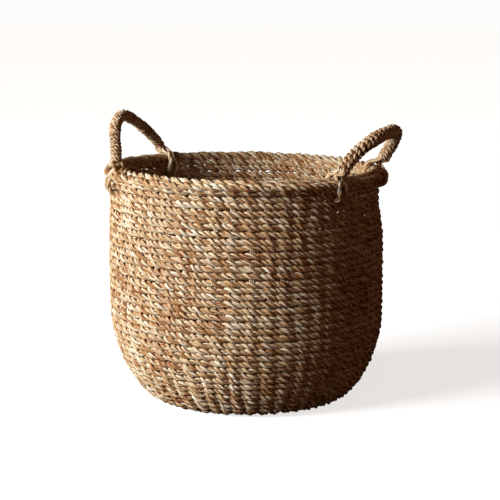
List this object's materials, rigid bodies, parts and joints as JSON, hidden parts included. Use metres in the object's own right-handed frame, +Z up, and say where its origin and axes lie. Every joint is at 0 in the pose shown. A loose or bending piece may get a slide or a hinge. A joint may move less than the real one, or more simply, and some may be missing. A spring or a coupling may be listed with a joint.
{
  "type": "seagrass storage basket",
  "caption": "round twined seagrass storage basket, open at the top, with a rounded lower edge, a rolled border and two wound rope handles that fold",
  "frame": {"origin": "centre of the underside of the flat base, on the surface that the basket stands on", "axes": "+Z up along the basket's axis; the two handles are on +X (handle_right) and -X (handle_left); -Y is the side called front"},
  "size_m": [0.4096, 0.379, 0.3984],
  "materials": {
    "twined_weft": "matt twisted seagrass cord, straw to brown, with fine fibre lines",
    "rolled_border": "matt, long slanting seagrass strands rolled over the edge",
    "stakes": "matt, straight bundles of dried seagrass",
    "rope_core": "matt two-ply seagrass rope",
    "handle_wrap": "matt cord wound closely in turns about four millimetres apart"
  },
  "bodies": {
    "basket": {"base_weft_under": "twined_weft", "base_weft_upper": "twined_weft", "wall_weft_outer": "twined_weft", "wall_weft_inner": "twined_weft", "rim_border": "rolled_border", "lacing_left_front": "rope_core", "lacing_left_back": "rope_core", "lacing_right_front": "rope_core", "lacing_right_back": "rope_core", "stake_x_01": "stakes", "stake_x_02": "stakes", "stake_x_03": "stakes", "stake_x_04": "stakes", "stake_x_05": "stakes", "stake_x_06": "stakes", "stake_x_07": "stakes", "stake_x_08": "stakes", "stake_x_09": "stakes", "stake_x_10": "stakes", "stake_x_11": "stakes", "stake_x_12": "stakes", "stake_x_13": "stakes", "stake_y_01": "stakes", "stake_y_02": "stakes", "stake_y_03": "stakes", "stake_y_04": "stakes", "stake_y_05": "stakes", "stake_y_06": "stakes", "stake_y_07": "stakes", "stake_y_08": "stakes", "stake_y_09": "stakes", "stake_y_10": "stakes", "stake_y_11": "stakes", "stake_y_12": "stakes", "stake_y_13": "stakes"},
    "handle_left": {"handle_left_core": "rope_core", "handle_left_wrap": "handle_wrap"},
    "handle_right": {"handle_right_core": "rope_core", "handle_right_wrap": "handle_wrap"}
  },
  "joints": [
    {"name": "handle_left_swing", "type": "hinge", "parent": "basket", "child": "handle_left", "pos_m": [-0.15013, -0.00908, 0.318], "axis": [0.0604, -0.9982, 0], "range_deg": [-64, 40]},
    {"name": "handle_right_swing", "type": "hinge", "parent": "basket", "child": "handle_right", "pos_m": [0.16152, -0.00977, 0.318], "axis": [0.0604, 0.9982, 0], "range_deg": [-90, 20]}
  ]
}
